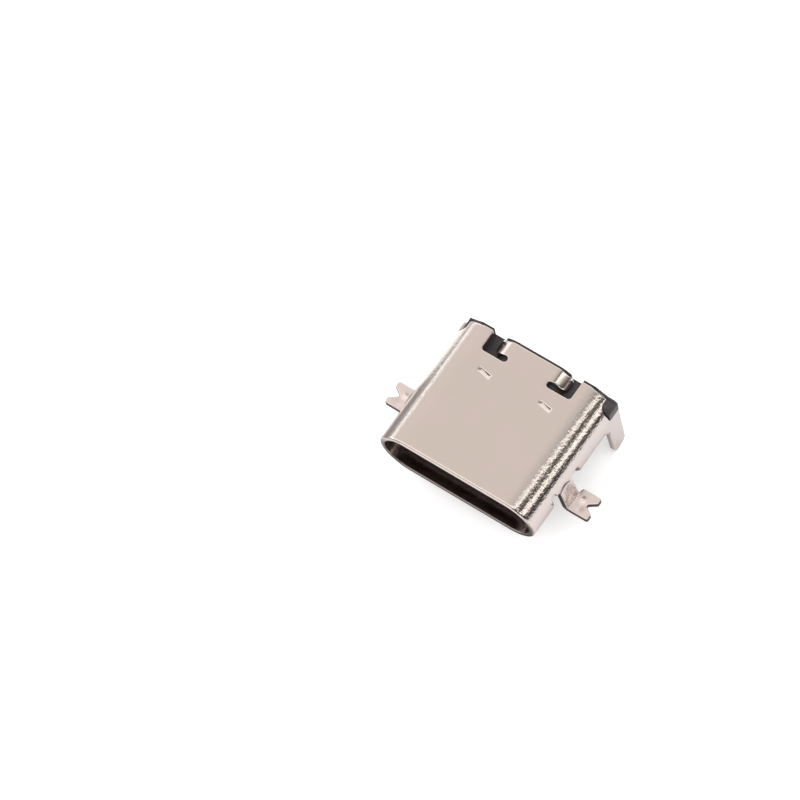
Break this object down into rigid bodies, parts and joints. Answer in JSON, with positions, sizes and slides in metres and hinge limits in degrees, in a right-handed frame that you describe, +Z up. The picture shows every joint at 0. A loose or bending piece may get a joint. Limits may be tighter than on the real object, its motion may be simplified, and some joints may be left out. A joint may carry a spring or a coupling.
{
  "type": "usb-c socket",
  "caption": "Reversible board-mount socket: folded steel shell with side tabs and rear legs, black rear housing, thin contact tongue and a row of gold solder tails.",
  "frame": {"origin": "on the board plane, on the centre line, level with the middle of the side tabs, 2.9 mm behind the mouth's rim", "axes": "+X across the mouth, +Y rearward away from the mouth, +Z up from the board"},
  "size_m": [0.0118, 0.0081, 0.0046],
  "materials": {
    "shell_steel": "bright rolled, nickel plated",
    "plate_steel": "bright rolled",
    "black_plastic": "moulded, satin",
    "carrier_plastic": "moulded, satin",
    "contact_gold": "gold flashed"
  },
  "bodies": {
    "root": {"shell": "shell_steel", "housing": "black_plastic", "mid_plate": "plate_steel", "upper_carrier": "carrier_plastic", "lower_carrier": "carrier_plastic", "upper_contact_1": "contact_gold", "upper_contact_2": "contact_gold", "upper_contact_3": "contact_gold", "upper_contact_4": "contact_gold", "upper_contact_5": "contact_gold", "upper_contact_6": "contact_gold", "upper_contact_7": "contact_gold", "upper_contact_8": "contact_gold", "lower_contact_1": "contact_gold", "lower_contact_2": "contact_gold", "lower_contact_3": "contact_gold", "lower_contact_4": "contact_gold", "lower_contact_5": "contact_gold", "lower_contact_6": "contact_gold", "lower_contact_7": "contact_gold", "lower_contact_8": "contact_gold"}
  },
  "joints": []
}
